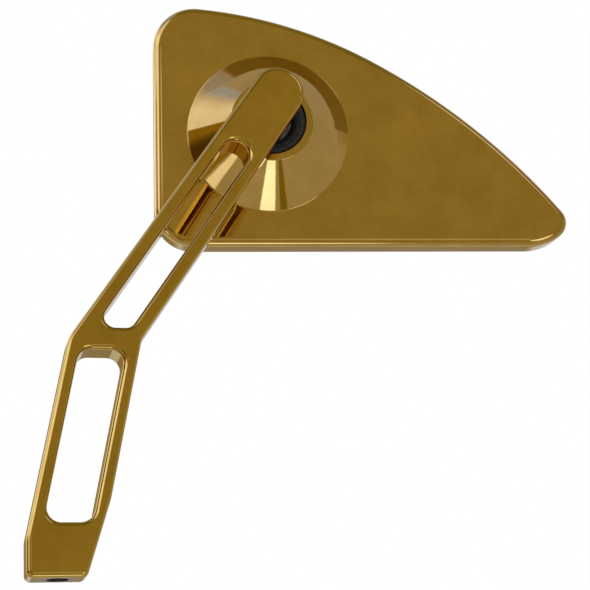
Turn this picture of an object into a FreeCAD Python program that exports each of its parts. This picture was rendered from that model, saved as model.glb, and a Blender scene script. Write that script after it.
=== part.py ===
"""Billet motorcycle side mirror: a slotted, bent arm that carries a mirror head on a ball joint.

Row frame, millimetres: the origin is the centre of the mounting hole's mouth in the arm's lower end.
+Z runs up along the hole, +X towards the head's tip, and +Y towards the glass, so -Y is the mirror's back.
The head is drawn in its own frame, with its origin at the ball's centre, and then leaned into place.
"""

import FreeCAD, Part
import math
import os

from FreeCAD import Placement, Rotation, Vector

# Arm
ARM_THICKNESS = 12.7
EDGE_ROUND = 1.8
HALF_WIDTH = 11.75          # half the arm's width at the knee and below, measured level
END_HALF_WIDTH = 10.9       # the same at the round end
LEG_SHIFT = -0.5            # from the mounting hole's axis to the foot of the leg's centre line
LEG_LEAN = 11.3             # degrees from upright, below the knee
KNEE_HEIGHT = 75.7
REACH_LEAN = 33.7           # degrees from upright, above the knee
REACH_LENGTH = 110.4        # from the knee to the centre of the round end
FOOT_LEFT = 9.7
FOOT_RIGHT = 8.6
FOOT_CORNER = 2.0
LOWER_SLOT_HALF = 7.5       # level half width
LOWER_SLOT_BOTTOM = 16.8
LOWER_SLOT_TOP = 72.0
LOWER_SLOT_CORNER = 4.5
UPPER_SLOT_WIDTH = 9.8      # square across the slot
UPPER_SLOT_BOTTOM = 79.4
UPPER_SLOT_END = 85.4       # along the reach, from the knee
UPPER_SLOT_CORNER = 3.6

# Mounting thread
MOUNT_THREAD_R = 3.4        # minor radius of an M8 thread
MOUNT_INSERT_R = 4.6
MOUNT_INSERT_LENGTH = 12.5
MOUNT_BORE_DEPTH = 13.2

# Ball pivot, along its own axis from the ball's centre, negative towards the arm
PIVOT_ALONG = 109.5
PIVOT_OFFSET = 3.2          # to the right of the reach's centre line
BALL_R = 10.0
ARM_GAP = 12.0              # from the arm's glass-side face to the ball's centre
PIVOT_INSERT_R = 4.5
PIVOT_INSERT_DEPTH = 10.0
SCREW_R = 2.95
SCREW_BORE_R = 3.0
BALL_BORE_R = 3.1
BALL_FLAT = 8.4
COUNTERBORE_R = 5.2
COUNTERBORE_FLOOR = 2.4
WASHER_THICKNESS = 0.8
SCREW_HEAD_R = 4.9
SCREW_HEAD_TOP = 7.1

# Socket inside the cone
RUNNING_GAP = 0.06
COLLAR_TOP = -7.4
COLLAR_R = 14.8
COLLAR_EDGE = 0.45
LIP_FLOOR = -5.4
LIP_R = 12.2
SOCKET_R = 13.5
SEAT_SPHERE_R = BALL_R + RUNNING_GAP
SEAT_R = SOCKET_R - RUNNING_GAP
SPIGOT_R = 12.0
SPIGOT_TOP = -6.9
SEAT_SPLIT = 0.25
SEAT_MOUTH_R = 7.9
REAR_SEAT_BACK = 8.6
PLATE_FRONT = 8.7
PLATE_BACK = 9.5
SPRING_THICKNESS = 0.5
SPRING_RISE = 0.4
NUT_FRONT = 11.4
NUT_BACK = 14.3
LOCK_SCREW_R = 1.25

# Head, along the ball's axis from the ball's centre
BACK_FACE = 7.5
HEAD_THICKNESS = 11.0
GLASS_POCKET_FLOOR = 14.6
HOLLOW_FLOOR = 10.6
CONE_BASE_R = 29.7          # a 45 degree cone from the collar to the head's back
CONE_FOOT_ROUND = 0.8
RELIEF_IN_R = 17.5
RELIEF_OUT_R = 25.5
RELIEF_FLOOR = 6.5
BACK_ROUND = 3.1
FRONT_ROUND = 0.8

# Head outline about the ball's axis
LEFT_EDGE = -41.9
BOTTOM_EDGE = -42.4
SHOULDER_R = 161.9           # the top edge's left-hand arc
SHOULDER_X = -38.7
SHOULDER_Z = -112.2
CROWN_R = 238.6              # the flatter arc that carries it on to the tip
CROWN_TURN = 28.7            # degrees from straight up where the two arcs meet
TOP_CORNER = 15.5
FOOT_ROUND = 14.0
TIP_ROUND = 6.5
UNDER_ROUND = 20.0           # from the tip round to the bottom edge
UNDER_TURN = 38.0            # degrees from straight down where those two arcs meet
WALL = 2.4
GASKET = 0.5
HOLLOW_WALL = 7.5
BOSS_R = 33.0
RIB = 3.0
GLASS_FRONT = 18.2
GLASS_BACK = 16.2
CARRIER_THICKNESS = 1.0
CARRIER_SCREW_R = 1.0
CARRIER_SCREW_HEAD_R = 1.9
CARRIER_SCREWS = [(-31, 31), (-31, -31), (38, 24.5), (88, -37.1)]
PADS = [(-37, 7), (-37, -16), (17, 14), (40, 4), (40, -13), (40, -30), (64, -13), (64, -30)]
PAD_WIDTH = 18
PAD_HEIGHT = 9

# How the head stands on its ball
REST_LEAN = 10.86           # degrees between the head's axis and the ball stud
LEAN_SIDE = 47.35           # degrees from straight down, towards -X, that the head's back looks

FORWARD = Vector(0, 1, 0)
LEG_SLANT = math.tan(math.radians(LEG_LEAN))
REACH_SLANT = math.tan(math.radians(REACH_LEAN))
REACH_DIR = Vector(math.sin(math.radians(REACH_LEAN)), 0, math.cos(math.radians(REACH_LEAN)))
REACH_SIDE = Vector(REACH_DIR.z, 0, -REACH_DIR.x)
KNEE = Vector(LEG_SHIFT + LEG_SLANT * KNEE_HEIGHT, 0, KNEE_HEIGHT)
PIVOT = KNEE + REACH_DIR * PIVOT_ALONG + REACH_SIDE * PIVOT_OFFSET
BALL = Vector(PIVOT.x, ARM_THICKNESS / 2 + ARM_GAP, PIVOT.z)
LEAN_AXIS = Vector(math.cos(math.radians(LEAN_SIDE)), 0, -math.sin(math.radians(LEAN_SIDE)))
ON_BALL = Placement(BALL, Rotation())
ON_HEAD = Placement(BALL, Rotation(LEAN_AXIS, REST_LEAN))


def rounded_loop(corners, depth):
    """Closed wire in an XZ plane at the given depth, through (x, z, radius) corners."""
    arcs = []
    count = len(corners)
    for i, (x, z, radius) in enumerate(corners):
        here = Vector(x, depth, z)
        before = Vector(corners[i - 1][0], depth, corners[i - 1][1]) - here
        after = Vector(corners[(i + 1) % count][0], depth, corners[(i + 1) % count][1]) - here
        before.normalize()
        after.normalize()
        half = before.getAngle(after) / 2
        middle = (before + after).normalize()
        centre = here + middle * (radius / math.sin(half))
        reach = radius / math.tan(half)
        arcs.append((here + before * reach, centre - middle * radius, here + after * reach))
    edges = []
    for i, (start, top, end) in enumerate(arcs):
        edges.append(Part.Arc(start, top, end).toShape())
        following = arcs[(i + 1) % count][0]
        if (following - end).Length > 1e-4:
            edges.append(Part.LineSegment(end, following).toShape())
    return Part.Wire(edges)


def extruded(corners, start, end):
    """Solid between two depths along Y with a rounded outline."""
    return Part.Face(rounded_loop(corners, start)).extrude(FORWARD * (end - start))


def rod(radius, start, end, x=0.0, z=0.0):
    """Cylinder along Y."""
    return Part.makeCylinder(radius, end - start, Vector(x, start, z), FORWARD)


def ring(inner, outer, start, end):
    """Flat ring round the Y axis."""
    return rod(outer, start, end).cut(rod(inner, start - 1, end + 1))


def turned(profile):
    """Solid of revolution about Y from (radius, y) points."""
    points = [Vector(r, y, 0) for r, y in profile]
    points.append(points[0])
    return Part.Face(Part.makePolygon(points)).revolve(Vector(), FORWARD, 360)


def edges_at(shape, depth):
    """The edges of a plate that lie wholly in the plane y = depth."""
    return [e for e in shape.Edges if all(abs(v.Point.y - depth) < 1e-4 for v in e.Vertexes)
            and abs(e.CenterOfMass.y - depth) < 1e-4]


def circles_at(shape, depth, radius):
    """The circles of one radius in the plane y = depth."""
    return [e for e in edges_at(shape, depth)
            if isinstance(e.Curve, Part.Circle) and abs(e.Curve.Radius - radius) < 1e-3]


def round_turn(centre_x, centre_z, radius, count, start=0.0):
    """(x, z) places spaced evenly on a circle."""
    turns = [math.radians(start + 360.0 * i / count) for i in range(count)]
    return [(centre_x + radius * math.cos(t), centre_z + radius * math.sin(t)) for t in turns]


# ---- Arm -------------------------------------------------------------------------------------------

def arm_outline():
    half = END_HALF_WIDTH * REACH_DIR.z
    tip = KNEE + REACH_DIR * (REACH_LENGTH + half)
    left_tip = tip - REACH_SIDE * half
    right_tip = tip + REACH_SIDE * half
    end_round = half - 0.1
    waist = 12.0
    taper = 24.0
    return [
        (-FOOT_LEFT, 0, FOOT_CORNER),
        (LEG_SHIFT + LEG_SLANT * waist - HALF_WIDTH, waist, 8.0),
        (KNEE.x - HALF_WIDTH, KNEE.z, 10.0),
        (left_tip.x, left_tip.z, end_round),
        (right_tip.x, right_tip.z, end_round),
        (KNEE.x + HALF_WIDTH, KNEE.z, 3.0),
        (LEG_SHIFT + LEG_SLANT * taper + HALF_WIDTH, taper, 20.0),
        (FOOT_RIGHT, 0, FOOT_CORNER),
    ]


def lower_slot_outline():
    low = LEG_SHIFT + LEG_SLANT * LOWER_SLOT_BOTTOM
    high = LEG_SHIFT + LEG_SLANT * LOWER_SLOT_TOP
    return [
        (low - LOWER_SLOT_HALF, LOWER_SLOT_BOTTOM, LOWER_SLOT_CORNER),
        (high - LOWER_SLOT_HALF, LOWER_SLOT_TOP, LOWER_SLOT_CORNER),
        (high + LOWER_SLOT_HALF, LOWER_SLOT_TOP, LOWER_SLOT_CORNER),
        (low + LOWER_SLOT_HALF, LOWER_SLOT_BOTTOM, LOWER_SLOT_CORNER),
    ]


def upper_slot_outline():
    half = UPPER_SLOT_WIDTH / 2
    level_half = half / REACH_DIR.z
    foot = KNEE.x + REACH_SLANT * (UPPER_SLOT_BOTTOM - KNEE.z)
    end = KNEE + REACH_DIR * UPPER_SLOT_END
    left = end - REACH_SIDE * half
    right = end + REACH_SIDE * half
    return [
        (foot - level_half, UPPER_SLOT_BOTTOM, UPPER_SLOT_CORNER),
        (left.x, left.z, half - 0.01),
        (right.x, right.z, half - 0.01),
        (foot + level_half, UPPER_SLOT_BOTTOM, UPPER_SLOT_CORNER),
    ]


def arm():
    back = -ARM_THICKNESS / 2
    front = ARM_THICKNESS / 2
    body = extruded(arm_outline(), back, front)
    for slot in (lower_slot_outline(), upper_slot_outline()):
        body = body.cut(extruded(slot, back - 1, front + 1))
    body = body.makeFillet(EDGE_ROUND, edges_at(body, back) + edges_at(body, front))
    body = body.cut(Part.makeCylinder(MOUNT_INSERT_R, MOUNT_BORE_DEPTH))
    return body.cut(rod(PIVOT_INSERT_R, front - PIVOT_INSERT_DEPTH, front + 1, PIVOT.x, PIVOT.z))


def mount_insert():
    body = Part.makeCylinder(MOUNT_INSERT_R, MOUNT_INSERT_LENGTH)
    return body.cut(Part.makeCylinder(MOUNT_THREAD_R, MOUNT_INSERT_LENGTH))


def pivot_insert():
    return ring(SCREW_BORE_R, PIVOT_INSERT_R, 0.1 - ARM_GAP - PIVOT_INSERT_DEPTH, -ARM_GAP)


# ---- Ball stud -------------------------------------------------------------------------------------

def pivot_ball():
    body = Part.makeSphere(BALL_R)
    body = body.cut(rod(BALL_R, -BALL_R - 1, -BALL_FLAT))
    body = body.cut(rod(BALL_BORE_R, -BALL_R, BALL_R))
    return body.cut(rod(COUNTERBORE_R, COUNTERBORE_FLOOR, BALL_R + 1))


def pivot_spacer():
    arm_end = 0.05 - ARM_GAP
    return turned([(BALL_BORE_R, arm_end), (5.6, arm_end), (5.6, arm_end + 0.8), (4.5, -9.6),
                   (4.5, -BALL_FLAT), (BALL_BORE_R, -BALL_FLAT)])


def pivot_washer():
    return ring(BALL_BORE_R, SCREW_HEAD_R, COUNTERBORE_FLOOR, COUNTERBORE_FLOOR + WASHER_THICKNESS)


def pivot_screw():
    under_head = COUNTERBORE_FLOOR + WASHER_THICKNESS
    shank = rod(SCREW_R, 0.5 - ARM_GAP - PIVOT_INSERT_DEPTH, under_head)
    head = rod(SCREW_HEAD_R, under_head, SCREW_HEAD_TOP)
    head = head.makeChamfer(0.4, edges_at(head, SCREW_HEAD_TOP))
    key_r = 2.9
    corners = [Vector(x, SCREW_HEAD_TOP - 2.4, z) for x, z in round_turn(0, 0, key_r, 6)]
    socket = Part.Face(Part.makePolygon(corners + [corners[0]])).extrude(FORWARD * 3)
    return shank.fuse(head).removeSplitter().cut(socket)


# ---- Socket ----------------------------------------------------------------------------------------

def front_seat():
    body = turned([(3, -SEAT_SPLIT), (SEAT_R, -SEAT_SPLIT), (SEAT_R, LIP_FLOOR + 0.1),
                   (SPIGOT_R, LIP_FLOOR + 0.1), (SPIGOT_R, SPIGOT_TOP), (3, SPIGOT_TOP)])
    mouth_y = -math.sqrt(SEAT_SPHERE_R ** 2 - SEAT_MOUTH_R ** 2)
    flare = turned([(0, mouth_y + 1), (SEAT_MOUTH_R, mouth_y + 1), (SEAT_MOUTH_R, mouth_y),
                    (9.4, SPIGOT_TOP - 0.2), (0, SPIGOT_TOP - 0.2)])
    return body.cut(Part.makeSphere(SEAT_SPHERE_R)).cut(flare)


def rear_seat():
    body = ring(6.2, SEAT_R, SEAT_SPLIT, REAR_SEAT_BACK)
    return body.cut(Part.makeSphere(SEAT_SPHERE_R))


def wiper_ring():
    return turned([(9.7, SPIGOT_TOP), (11.7, SPIGOT_TOP), (11.7, SPIGOT_TOP - 0.2),
                   (10.7, SPIGOT_TOP - 0.45), (9.7, SPIGOT_TOP - 0.2)])


def pressure_plate():
    return ring(6.8, SOCKET_R - 0.1, PLATE_FRONT, PLATE_BACK)


def disc_springs():
    inner = 7.0
    outer = 13.0
    low = PLATE_BACK + 0.02
    first = turned([(inner, low + SPRING_RISE), (outer, low), (outer, low + SPRING_THICKNESS),
                    (inner, low + SPRING_RISE + SPRING_THICKNESS)])
    high = NUT_FRONT - 0.02
    second = turned([(inner, high - SPRING_RISE), (outer, high), (outer, high - SPRING_THICKNESS),
                     (inner, high - SPRING_RISE - SPRING_THICKNESS)])
    return Part.makeCompound([first, second])


def lock_screw_place():
    return SOCKET_R * math.cos(math.radians(45)), SOCKET_R * math.sin(math.radians(45))


def tension_nut():
    body = ring(6.8, SOCKET_R, NUT_FRONT, NUT_BACK)
    for x, z in round_turn(0, 0, 10.2, 4):
        body = body.cut(rod(1.0, NUT_BACK - 2.2, NUT_BACK + 1, x, z))
    x, z = lock_screw_place()
    return body.cut(rod(LOCK_SCREW_R, NUT_FRONT + 0.7, NUT_BACK + 1, x, z))


def nut_lock_screw():
    x, z = lock_screw_place()
    body = rod(LOCK_SCREW_R, NUT_FRONT + 0.7, NUT_BACK, x, z)
    return body.cut(rod(0.7, NUT_BACK - 1.2, NUT_BACK + 1, x, z))


# ---- Head ------------------------------------------------------------------------------------------

def head_plate(inset, start, end):
    """Solid with the head's outline, drawn in by inset all round."""
    left = LEFT_EDGE + inset
    bottom = BOTTOM_EDGE + inset
    shoulder_r = SHOULDER_R - inset
    crown_r = CROWN_R - inset
    under_r = UNDER_ROUND - inset
    top_r, tip_r, foot_r = [max(r - inset, 0.8) for r in (TOP_CORNER, TIP_ROUND, FOOT_ROUND)]
    to_join = heading(CROWN_TURN)
    to_under = heading(180 - UNDER_TURN)
    shoulder = Vector(SHOULDER_X, start, SHOULDER_Z)
    crown = shoulder - to_join * (CROWN_R - SHOULDER_R)
    top = Vector(left + top_r, start, 0)
    top.z = shoulder.z + math.sqrt((shoulder_r - top_r) ** 2 - (top.x - shoulder.x) ** 2)
    tip = Vector(0, start, bottom + under_r + to_under.z * (under_r - tip_r))
    tip.x = crown.x + math.sqrt((crown_r - tip_r) ** 2 - (tip.z - crown.z) ** 2)
    under = tip - to_under * (under_r - tip_r)
    foot = Vector(left + foot_r, start, bottom + foot_r)
    to_top = (top - shoulder).normalize()
    to_tip = (tip - crown).normalize()
    leftward = Vector(-1, 0, 0)
    downward = Vector(0, 0, -1)
    edges = [
        swept_arc(top, top_r, leftward, to_top),
        swept_arc(shoulder, shoulder_r, to_top, to_join),
        swept_arc(crown, crown_r, to_join, to_tip),
        swept_arc(tip, tip_r, to_tip, to_under),
        swept_arc(under, under_r, to_under, downward),
        Part.LineSegment(under + downward * under_r, foot + downward * foot_r).toShape(),
        swept_arc(foot, foot_r, downward, leftward),
        Part.LineSegment(foot + leftward * foot_r, top + leftward * top_r).toShape(),
    ]
    return Part.Face(Part.Wire(edges)).extrude(FORWARD * (end - start))


def heading(angle):
    """Unit direction in the head's plane, in degrees from straight up towards the tip."""
    return Vector(math.sin(math.radians(angle)), 0, math.cos(math.radians(angle)))


def swept_arc(centre, radius, first, last):
    """The shorter arc about a centre between two unit directions."""
    middle = (first + last).normalize()
    return Part.Arc(centre + first * radius, centre + middle * radius, centre + last * radius).toShape()


def cone():
    """The cone that holds the ball, solid as yet."""
    return turned([(0, COLLAR_TOP), (COLLAR_R, COLLAR_TOP), (CONE_BASE_R, BACK_FACE),
                   (CONE_BASE_R, BACK_FACE + 1), (0, BACK_FACE + 1)])


def mirror_housing():
    front = BACK_FACE + HEAD_THICKNESS
    body = head_plate(0, BACK_FACE, front)
    body = body.makeFillet(BACK_ROUND, edges_at(body, BACK_FACE))
    body = body.makeFillet(FRONT_ROUND, edges_at(body, front))
    body = body.cut(head_plate(WALL, GLASS_POCKET_FLOOR, front + 1))
    body = body.cut(head_hollows())
    body = body.fuse(cone()).removeSplitter()
    body = body.makeFillet(CONE_FOOT_ROUND, circles_at(body, BACK_FACE, CONE_BASE_R))
    body = body.makeFillet(COLLAR_EDGE, circles_at(body, COLLAR_TOP, COLLAR_R))
    body = body.cut(ring(RELIEF_IN_R, RELIEF_OUT_R, RELIEF_FLOOR, GLASS_POCKET_FLOOR + 1))
    body = body.cut(rod(LIP_R, COLLAR_TOP - 1, LIP_FLOOR + 1))
    body = body.cut(rod(SOCKET_R, LIP_FLOOR, GLASS_POCKET_FLOOR + 1))
    body = body.cut(Part.makeCone(LIP_R + 1.3, LIP_R, 1.3, Vector(0, COLLAR_TOP - 1, 0), FORWARD))
    x, z = lock_screw_place()
    body = body.cut(rod(LOCK_SCREW_R, NUT_FRONT + 0.7, GLASS_POCKET_FLOOR + 1, x, z))
    for x, z in CARRIER_SCREWS:
        body = body.cut(rod(CARRIER_SCREW_R, GLASS_POCKET_FLOOR - 5, GLASS_POCKET_FLOOR + 1, x, z))
    return body


def head_hollows():
    """Lightening pockets behind the glass, parted by two ribs and the boss round the socket."""
    body = head_plate(HOLLOW_WALL, HOLLOW_FLOOR, GLASS_POCKET_FLOOR + 1)
    body = body.cut(rod(BOSS_R, HOLLOW_FLOOR - 1, GLASS_POCKET_FLOOR + 2))
    for x in (46.0, 74.0):
        body = body.cut(Part.makeBox(RIB, 10, 120, Vector(x, HOLLOW_FLOOR - 1, -60)))
    return body.cut(Part.makeBox(60, 10, 120, Vector(-45, HOLLOW_FLOOR - 1, -60)))


def screw_head(x, z):
    return Part.makeCone(CARRIER_SCREW_R, CARRIER_SCREW_HEAD_R, CARRIER_THICKNESS - 0.1,
                         Vector(x, GLASS_POCKET_FLOOR + 0.1, z), FORWARD)


def glass_carrier():
    body = head_plate(WALL + GASKET, GLASS_POCKET_FLOOR, GLASS_POCKET_FLOOR + CARRIER_THICKNESS)
    body = body.cut(rod(SOCKET_R + 0.5, GLASS_POCKET_FLOOR - 1, GLASS_BACK))
    for x, z in CARRIER_SCREWS:
        body = body.cut(rod(CARRIER_SCREW_R, GLASS_POCKET_FLOOR - 1, GLASS_BACK, x, z))
        body = body.cut(screw_head(x, z))
    return body


def carrier_screws():
    screws = []
    for x, z in CARRIER_SCREWS:
        shank = rod(CARRIER_SCREW_R - 0.02, GLASS_POCKET_FLOOR - 4, GLASS_POCKET_FLOOR + 0.3, x, z)
        head = screw_head(x, z).cut(rod(0.7, GLASS_POCKET_FLOOR + 0.5, GLASS_BACK, x, z))
        screws.append(shank.fuse(head).removeSplitter())
    return Part.makeCompound(screws)


def adhesive_pads():
    start = GLASS_POCKET_FLOOR + CARRIER_THICKNESS
    pads = []
    for x, z in PADS:
        right = x + PAD_WIDTH
        top = z + PAD_HEIGHT
        corners = [(x, z, 1.5), (x, top, 1.5), (right, top, 1.5), (right, z, 1.5)]
        pads.append(extruded(corners, start, GLASS_BACK))
    return Part.makeCompound(pads)


def mirror_glass():
    body = head_plate(WALL + GASKET, GLASS_BACK, GLASS_FRONT)
    return body.makeChamfer(0.3, edges_at(body, GLASS_FRONT))


def glass_gasket():
    return head_plate(WALL, GLASS_BACK, GLASS_FRONT - 0.2).cut(head_plate(WALL + GASKET, GLASS_BACK - 1,
                                                                          GLASS_FRONT + 1))


def placed(shape, placement):
    moved = shape.copy()
    moved.Placement = placement.multiply(moved.Placement)
    return moved


def main():
    os.makedirs("parts", exist_ok=True)
    as_drawn = {"arm": arm(), "mount_insert": mount_insert()}
    on_ball = {"pivot_insert": pivot_insert(), "pivot_ball": pivot_ball(), "pivot_spacer": pivot_spacer(),
               "pivot_washer": pivot_washer(), "pivot_screw": pivot_screw()}
    on_head = {"front_seat": front_seat(), "rear_seat": rear_seat(), "wiper_ring": wiper_ring(),
               "pressure_plate": pressure_plate(), "disc_springs": disc_springs(),
               "tension_nut": tension_nut(), "nut_lock_screw": nut_lock_screw(),
               "mirror_housing": mirror_housing(), "glass_carrier": glass_carrier(),
               "carrier_screws": carrier_screws(), "adhesive_pads": adhesive_pads(),
               "mirror_glass": mirror_glass(), "glass_gasket": glass_gasket()}
    pieces = dict(as_drawn)
    pieces.update({name: placed(shape, ON_BALL) for name, shape in on_ball.items()})
    pieces.update({name: placed(shape, ON_HEAD) for name, shape in on_head.items()})
    for name, shape in pieces.items():
        shape.exportStep("parts/" + name + ".step")
        volume = round(shape.Volume / 1000, 3)
        print(name, "valid", shape.isValid(), "solids", len(shape.Solids), "cm3", volume)
    print("ball centre", BALL, "head axis", ON_HEAD.Rotation.multVec(FORWARD), "lean axis", LEAN_AXIS)


main()
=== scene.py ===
import math

import bpy
from mathutils import Matrix, Vector

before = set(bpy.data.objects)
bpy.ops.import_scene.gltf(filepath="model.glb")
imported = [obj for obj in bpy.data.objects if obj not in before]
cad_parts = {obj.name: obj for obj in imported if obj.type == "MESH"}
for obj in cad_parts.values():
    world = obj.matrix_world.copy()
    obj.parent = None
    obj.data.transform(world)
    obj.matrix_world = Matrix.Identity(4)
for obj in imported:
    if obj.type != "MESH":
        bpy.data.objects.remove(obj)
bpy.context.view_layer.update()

# Camera, in the row's frame
CAMERA_PLACE = Vector((-0.0431, -0.4605, -0.0683))
CAMERA_RIGHT = Vector((0.9695, -0.2400, -0.0494))
CAMERA_UP = Vector((-0.0323, -0.3250, 0.9452))
CAMERA_BACK = Vector((-0.2429, -0.9148, -0.3228))
CAMERA_LENS = 91.28          # mm, on the default 36 mm sensor

FLOOR_HEIGHT = -0.20
FLOOR_HALF = 3.0
TOP_BOX_PLACE = Vector((0.1, 0.0, 1.3))
TOP_BOX_TARGET = Vector((0.05, 0.0, 0.1))
TOP_BOX_SIZE = (1.2, 1.0)
TOP_BOX_POWER = 6            # W

NOISE_LOW = 0.3              # the part of its range that a noise really uses
NOISE_HIGH = 0.7

# The room that polished surfaces reflect. Its walls fade into each other along +Y.
ROOM_FRONT = (0.30, 0.25, 0.12)
ROOM_SIDES = (0.38, 0.355, 0.36)
ROOM_BEHIND = (0.58, 0.61, 0.66)
FRONT_TO_SIDES = (-0.38, -0.20)
SIDES_TO_BEHIND = (0.45, 0.8)
DEEP_RAYS = (3.0, 4.0)       # Ray Depth after two bounces and after three, seen from the world
DEEP_LIGHT = 0.3             # the share of the room's light that is left after three bounces

# Round patches of light and dark in the room, each laid over those before it. Each row has, in
# degrees, the longitude from straight in front towards +X, the latitude, the radius of the patch's
# even middle and the radius where it has faded out, and then the colour.
ROOM_PATCHES = [
    (-170, 17, 17, 25, (0.30, 0.22, 0.08)),
    (165, -15, 13, 18, (0.30, 0.27, 0.20)),
    (-140, 28, 14, 26, (1.25, 1.3, 1.7)),
    (25, 62, 30, 34, (0.20, 0.185, 0.06)),
    (64, 30, 14, 18, (0.21, 0.195, 0.09)),
    (-78, 57, 14, 16, (0.38, 0.46, 1.05)),
    (-29, -8, 8, 11, (0.10, 0.09, 0.08)),
    (-93, 22, 7, 34, (0.92, 1.0, 1.6)),
    (-91, -3, 21.5, 23, (0.28, 0.19, 0.02)),
    (-91, -4, 3, 18, (0.08, 0.042, 0.01)),
    (-90, -33, 5, 7, (1.0, 1.05, 1.6)),
    (8, -81, 6, 8, (1.45, 1.75, 3.0)),
    (59, -71, 2.5, 4, (0.20, 0.165, 0.02)),
    (-50, 33, 13, 18, (0.95, 1.0, 1.5)),
    (-64, 20, 12, 18, (1.05, 1.1, 1.9)),
    (-65, 27, 5, 9, (1.3, 1.5, 2.8)),
    (-121, 29, 4, 7, (0.10, 0.06, 0.03)),
    (33, 34, 6, 10, (0.80, 0.85, 1.5)),
    (28, -37, 9, 13, (1.2, 1.3, 1.8)),
    (-20, 11, 2, 4, (0.75, 0.78, 1.1)),
    (3, -25, 5, 9, (0.53, 0.50, 0.62)),
]


# ---- Node helpers ------------------------------------------------------------------------------

class Nodes:
    """Shorthand for building one material's node tree."""

    def __init__(self, name):
        self.material = bpy.data.materials.new(name)
        self.material.use_nodes = True
        self.tree = self.material.node_tree
        self.shader = self.tree.nodes["Principled BSDF"]
        self.coords = self.tree.nodes.new("ShaderNodeTexCoord").outputs["Object"]

    def link(self, output, socket):
        self.tree.links.new(output, socket)

    def noise(self, scale, detail, stretch=(1, 1, 1), roughness=0.5):
        mapping = self.tree.nodes.new("ShaderNodeMapping")
        mapping.inputs["Scale"].default_value = stretch
        self.link(self.coords, mapping.inputs["Vector"])
        noise = self.tree.nodes.new("ShaderNodeTexNoise")
        noise.inputs["Scale"].default_value = scale
        noise.inputs["Detail"].default_value = detail
        noise.inputs["Roughness"].default_value = roughness
        self.link(mapping.outputs["Vector"], noise.inputs["Vector"])
        return noise.outputs["Fac"]

    def span(self, value, low, high):
        """Stretches a noise to run from low to high."""
        node = self.tree.nodes.new("ShaderNodeMapRange")
        node.inputs["From Min"].default_value = NOISE_LOW
        node.inputs["From Max"].default_value = NOISE_HIGH
        node.inputs["To Min"].default_value = low
        node.inputs["To Max"].default_value = high
        self.link(value, node.inputs["Value"])
        return node.outputs["Result"]

    def colours(self, value, dark, pale):
        ramp = self.tree.nodes.new("ShaderNodeValToRGB")
        first, last = ramp.color_ramp.elements
        first.position = NOISE_LOW
        first.color = (*dark, 1)
        last.position = NOISE_HIGH
        last.color = (*pale, 1)
        self.link(value, ramp.inputs["Fac"])
        return ramp.outputs["Color"]

    def bump(self, value, strength, distance, onto=None):
        node = self.tree.nodes.new("ShaderNodeBump")
        node.inputs["Strength"].default_value = strength
        node.inputs["Distance"].default_value = distance
        self.link(value, node.inputs["Height"])
        if onto is not None:
            self.link(onto, node.inputs["Normal"])
        return node.outputs["Normal"]

    def set(self, **values):
        for name, value in values.items():
            self.shader.inputs[name.replace("_", " ")].default_value = value

    def wire(self, **outputs):
        for name, output in outputs.items():
            self.link(output, self.shader.inputs[name.replace("_", " ")])


# ---- Materials ---------------------------------------------------------------------------------

def gold(name, grain, roughness, dark, pale):
    """Gold-anodised aluminium under clear lacquer, with fine polishing marks along the grain."""
    nodes = Nodes(name)
    nodes.set(Metallic=1.0, Coat_Weight=0.35, Coat_Roughness=0.03)
    cloud = nodes.noise(scale=45, detail=7, roughness=0.72)
    nodes.wire(Base_Color=nodes.colours(cloud, dark, pale))
    marks = nodes.noise(scale=900, detail=2, stretch=grain)
    smear = nodes.noise(scale=90, detail=4, roughness=0.65)
    nodes.wire(Roughness=nodes.span(smear, roughness * 0.7, roughness * 1.4))
    wave = nodes.bump(nodes.noise(scale=55, detail=1), strength=0.2, distance=0.0002)
    nodes.wire(Normal=nodes.bump(marks, strength=0.08, distance=0.00004, onto=wave))
    return nodes.material


def mottled(name, metallic, cloud, dark, pale, shine, grain, relief):
    """Uneven colour and shine from one noise, and a fine relief from another.

    cloud and grain are the two noises, shine is the roughness at the cloud's dark and pale ends,
    and relief is the bump's strength and distance.
    """
    nodes = Nodes(name)
    nodes.set(Metallic=metallic)
    patches = nodes.noise(*cloud)
    nodes.wire(Base_Color=nodes.colours(patches, dark, pale))
    nodes.wire(Roughness=nodes.span(patches, *shine))
    nodes.wire(Normal=nodes.bump(nodes.noise(*grain), *relief))
    return nodes.material


def black_steel():
    return mottled("black_steel", metallic=0.9, cloud=(400, 4), dark=(0.02, 0.02, 0.022),
                   pale=(0.05, 0.048, 0.045), shine=(0.28, 0.42), grain=(2500, 2),
                   relief=(0.15, 0.00003))


def plain_steel():
    """Plain steel, with its grain drawn out along Z."""
    return mottled("plain_steel", metallic=1.0, cloud=(300, 4), dark=(0.46, 0.45, 0.43),
                   pale=(0.60, 0.59, 0.57), shine=(0.22, 0.36), grain=(1800, 2, (1, 1, 0.05)),
                   relief=(0.2, 0.00004))


def polished_ball():
    return mottled("polished_ball", metallic=1.0, cloud=(250, 3), dark=(0.13, 0.125, 0.12),
                   pale=(0.20, 0.195, 0.19), shine=(0.06, 0.12), grain=(1500, 2),
                   relief=(0.05, 0.00002))


def black_nylon():
    return mottled("black_nylon", metallic=0.0, cloud=(500, 4), dark=(0.010, 0.010, 0.012),
                   pale=(0.022, 0.021, 0.022), shine=(0.32, 0.48), grain=(3200, 3),
                   relief=(0.2, 0.00004))


def black_rubber():
    return mottled("black_rubber", metallic=0.0, cloud=(700, 4), dark=(0.012, 0.012, 0.012),
                   pale=(0.03, 0.029, 0.028), shine=(0.55, 0.75), grain=(4000, 3),
                   relief=(0.3, 0.00005))


def carrier_plastic():
    return mottled("carrier_plastic", metallic=0.0, cloud=(350, 4), dark=(0.03, 0.03, 0.032),
                   pale=(0.055, 0.055, 0.056), shine=(0.45, 0.6), grain=(3000, 2),
                   relief=(0.25, 0.00005))


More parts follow.
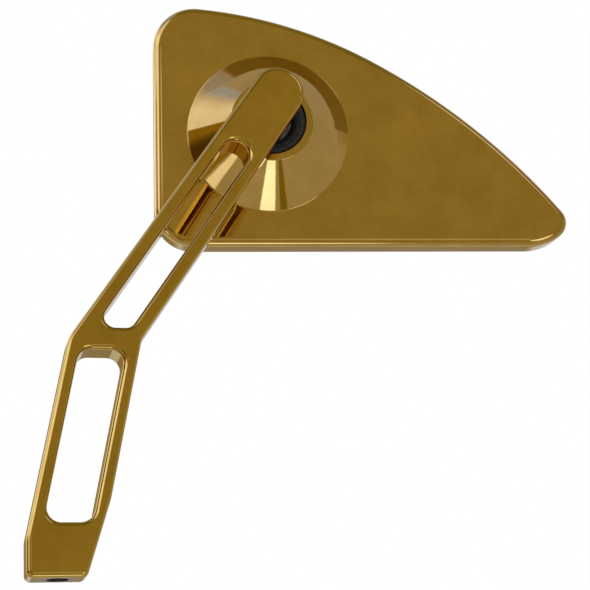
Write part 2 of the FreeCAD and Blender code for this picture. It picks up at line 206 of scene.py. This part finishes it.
def foam_tape():
    return mottled("foam_tape", metallic=0.0, cloud=(1500, 4), dark=(0.13, 0.13, 0.13),
                   pale=(0.24, 0.24, 0.23), shine=(0.8, 0.95), grain=(2200, 4),
                   relief=(0.6, 0.0001))


def silvered_glass():
    """Silver seen through a clear coat, with the faintest cloudiness in the silver."""
    nodes = Nodes("silvered_glass")
    nodes.set(Metallic=1.0, Coat_Weight=0.6, Coat_Roughness=0.01)
    cloud = nodes.noise(scale=25, detail=3)
    nodes.wire(Base_Color=nodes.colours(cloud, (0.80, 0.83, 0.84), (0.84, 0.86, 0.87)))
    nodes.wire(Roughness=nodes.span(nodes.noise(scale=120, detail=4), 0.008, 0.03))
    return nodes.material


# ---- Studio ------------------------------------------------------------------------------------

class RoomNodes:
    """Shorthand for building the world's node tree."""

    def __init__(self):
        world = bpy.data.worlds.new("studio")
        bpy.context.scene.world = world
        world.use_nodes = True
        self.tree = world.node_tree
        self.tree.nodes.clear()
        self.towards = self.node("TexCoord").outputs["Generated"]
        self.path = self.node("LightPath").outputs

    def node(self, kind):
        return self.tree.nodes.new("ShaderNode" + kind)

    def link(self, output, socket):
        self.tree.links.new(output, socket)

    def blend(self, factor, under, over):
        node = self.node("Mix")
        node.data_type = "RGBA"
        self.link(factor, node.inputs["Factor"])
        self.link(under, node.inputs["A"])
        node.inputs["B"].default_value = (*over, 1)
        return node.outputs["Result"]

    def step(self, value, start, end):
        node = self.node("MapRange")
        node.interpolation_type = "SMOOTHSTEP"
        node.inputs["From Min"].default_value = start
        node.inputs["From Max"].default_value = end
        self.link(value, node.inputs["Value"])
        return node.outputs["Result"]

    def walls(self):
        axes = self.node("SeparateXYZ")
        self.link(self.towards, axes.inputs[0])
        front = self.node("RGB").outputs[0]
        front.default_value = (*ROOM_FRONT, 1)
        light = self.blend(self.step(axes.outputs["Y"], *FRONT_TO_SIDES), front, ROOM_SIDES)
        return self.blend(self.step(axes.outputs["Y"], *SIDES_TO_BEHIND), light, ROOM_BEHIND)

    def patched(self, light):
        """Lays the round patches over light."""
        for *angles, colour in ROOM_PATCHES:
            lon, lat, core, rim = [math.radians(angle) for angle in angles]
            level = math.cos(lat)
            middle = (level * math.sin(lon), -level * math.cos(lon), math.sin(lat))
            dot = self.node("VectorMath")
            dot.operation = "DOT_PRODUCT"
            dot.inputs[1].default_value = middle
            self.link(self.towards, dot.inputs[0])
            inside = self.step(dot.outputs["Value"], math.cos(rim), math.cos(core))
            light = self.blend(inside, light, colour)
        return light

    def fading(self):
        """Dims the room for rays that have bounced three times or more."""
        node = self.node("MapRange")
        node.inputs["From Min"].default_value, node.inputs["From Max"].default_value = DEEP_RAYS
        node.inputs["To Min"].default_value = 1.0
        node.inputs["To Max"].default_value = DEEP_LIGHT
        self.link(self.path["Ray Depth"], node.inputs["Value"])
        return node.outputs["Result"]

    def show(self, light):
        """Shows light to reflections, and plain white to the camera and to matt surfaces."""
        reflected = self.node("Background")
        self.link(light, reflected.inputs["Color"])
        self.link(self.fading(), reflected.inputs["Strength"])
        white = self.node("Background")
        white.inputs["Color"].default_value = (1, 1, 1, 1)
        direct = self.node("Math")
        direct.operation = "MAXIMUM"
        self.link(self.path["Is Camera Ray"], direct.inputs[0])
        self.link(self.path["Is Diffuse Ray"], direct.inputs[1])
        mix = self.node("MixShader")
        self.link(direct.outputs[0], mix.inputs[0])
        self.link(reflected.outputs[0], mix.inputs[1])
        self.link(white.outputs[0], mix.inputs[2])
        self.link(mix.outputs[0], self.node("OutputWorld").inputs["Surface"])


def room():
    nodes = RoomNodes()
    nodes.show(nodes.patched(nodes.walls()))


def floor():
    mesh = bpy.data.meshes.new("floor")
    corners = [(-1, -1), (1, -1), (1, 1), (-1, 1)]
    points = [(x * FLOOR_HALF, y * FLOOR_HALF, FLOOR_HEIGHT) for x, y in corners]
    mesh.from_pydata(points, [], [(0, 1, 2, 3)])
    obj = bpy.data.objects.new("floor", mesh)
    bpy.context.collection.objects.link(obj)
    nodes = Nodes("floor_paper")
    nodes.set(Base_Color=(0.82, 0.81, 0.79, 1))
    nodes.wire(Roughness=nodes.span(nodes.noise(scale=40, detail=3), 0.8, 0.95))
    obj.data.materials.append(nodes.material)
    obj.visible_glossy = False


def top_box():
    """A soft box over the object, which doesn't show in reflections."""
    light = bpy.data.lights.new("top_box", "AREA")
    light.shape = "RECTANGLE"
    light.size, light.size_y = TOP_BOX_SIZE
    light.energy = TOP_BOX_POWER
    lamp = bpy.data.objects.new("top_box", light)
    lamp.location = TOP_BOX_PLACE
    lamp.rotation_mode = "QUATERNION"
    lamp.rotation_quaternion = (TOP_BOX_TARGET - TOP_BOX_PLACE).to_track_quat("-Z", "Y")
    lamp.visible_glossy = False
    bpy.context.collection.objects.link(lamp)


def camera():
    data = bpy.data.cameras.new("camera")
    data.lens = CAMERA_LENS
    data.clip_start = 0.01
    obj = bpy.data.objects.new("camera", data)
    turn = Matrix((CAMERA_RIGHT, CAMERA_UP, CAMERA_BACK)).transposed()
    obj.matrix_world = Matrix.Translation(CAMERA_PLACE) @ turn.to_4x4()
    bpy.context.collection.objects.link(obj)
    bpy.context.scene.camera = obj


# ---- Object ------------------------------------------------------------------------------------

def paint(names, material):
    for name in names:
        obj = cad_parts[name]
        for slot in obj.material_slots:
            slot.material = material


paint(["arm"], gold("arm_gold", (0.02, 1, 0.02), 0.035, (0.65, 0.395, 0.05), (0.82, 0.525, 0.09)))
paint(["mirror_housing"],
      gold("housing_gold", (0.03, 1, 1), 0.04, (0.67, 0.415, 0.08), (0.87, 0.57, 0.14)))
paint(["pivot_spacer", "pivot_screw", "tension_nut", "nut_lock_screw", "carrier_screws"],
      black_steel())
paint(["mount_insert", "pivot_insert", "pivot_washer", "pressure_plate", "disc_springs"],
      plain_steel())
paint(["pivot_ball"], polished_ball())
paint(["front_seat", "rear_seat"], black_nylon())
paint(["wiper_ring", "glass_gasket"], black_rubber())
paint(["glass_carrier"], carrier_plastic())
paint(["adhesive_pads"], foam_tape())
paint(["mirror_glass"], silvered_glass())

room()
floor()
top_box()
camera()
bpy.context.scene.view_settings.view_transform = "Standard"
